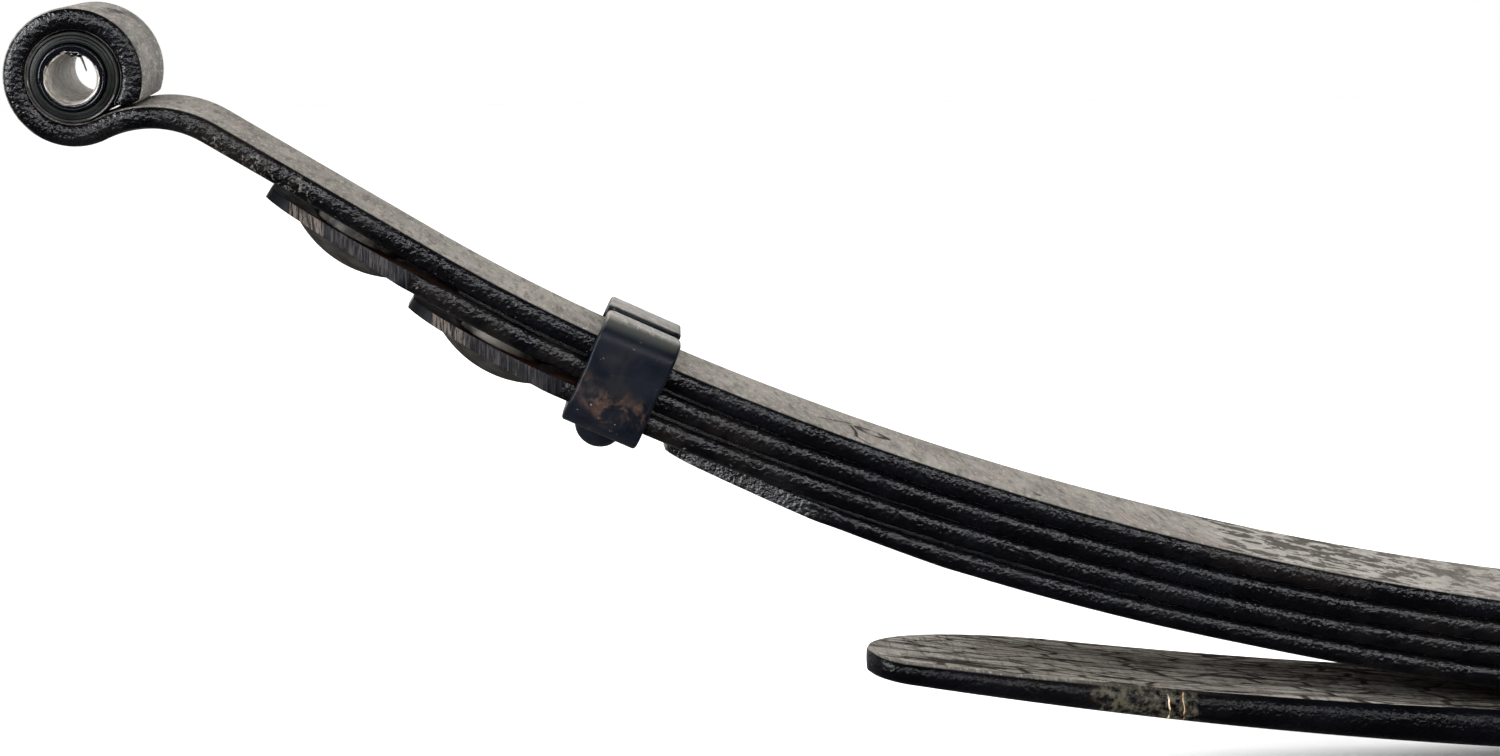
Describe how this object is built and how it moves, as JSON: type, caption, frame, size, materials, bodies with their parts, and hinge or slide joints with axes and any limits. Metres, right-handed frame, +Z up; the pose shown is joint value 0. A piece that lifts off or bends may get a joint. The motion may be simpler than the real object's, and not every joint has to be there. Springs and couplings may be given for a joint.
{
  "type": "leaf spring",
  "caption": "Multi-leaf suspension spring with bushed end eyes, graduated leaves with pressed tip cups, strap clips and a thick overload leaf, in black paint.",
  "frame": {"origin": "on the centre bolt's axis, at the overload leaf's flat bottom face, where an axle's spring pad bears", "axes": "+X along the spring towards its rear eye, +Y across its width to the left, +Z up, towards the eyes"},
  "size_m": [1.364, 0.0706, 0.2527],
  "materials": {
    "black_paint": "satin black paint over spring steel, lightly scuffed, stippled along the edges",
    "overload_paint": "weathered black paint with lengthwise cracks",
    "clip_paint": "semi-gloss black paint with a little surface rust",
    "fastener_steel": "dull phosphated steel",
    "bush_steel": "bare steel, lightly tarnished",
    "bush_rubber": "matte black rubber",
    "pad_plastic": "matte moulded plastic"
  },
  "bodies": {
    "spring": {"main_leaf": "black_paint", "second_leaf": "black_paint", "third_leaf": "black_paint", "fourth_leaf": "black_paint", "overload_leaf": "overload_paint", "centre_bolt": "fastener_steel", "centre_nut": "fastener_steel", "front_clip": "clip_paint", "rear_clip": "clip_paint", "front_clip_rivet": "clip_paint", "rear_clip_rivet": "clip_paint", "front_bush_shell": "bush_steel", "rear_bush_shell": "bush_steel", "front_bush_rubber": "bush_rubber", "rear_bush_rubber": "bush_rubber", "second_leaf_front_pad": "pad_plastic", "second_leaf_rear_pad": "pad_plastic", "third_leaf_front_pad": "pad_plastic", "third_leaf_rear_pad": "pad_plastic"},
    "front_sleeve": {"front_bush_sleeve": "bush_steel"},
    "rear_sleeve": {"rear_bush_sleeve": "bush_steel"}
  },
  "joints": [
    {"name": "front_bush_twist", "type": "hinge", "parent": "spring", "child": "front_sleeve", "pos_m": [-0.66136, 0, 0.22477], "axis": [0, 1, 0], "range_deg": [-15, 15], "stiffness_Nm_per_rad": 60},
    {"name": "rear_bush_twist", "type": "hinge", "parent": "spring", "child": "rear_sleeve", "pos_m": [0.66136, 0, 0.22477], "axis": [0, 1, 0], "range_deg": [-15, 15], "stiffness_Nm_per_rad": 60}
  ]
}
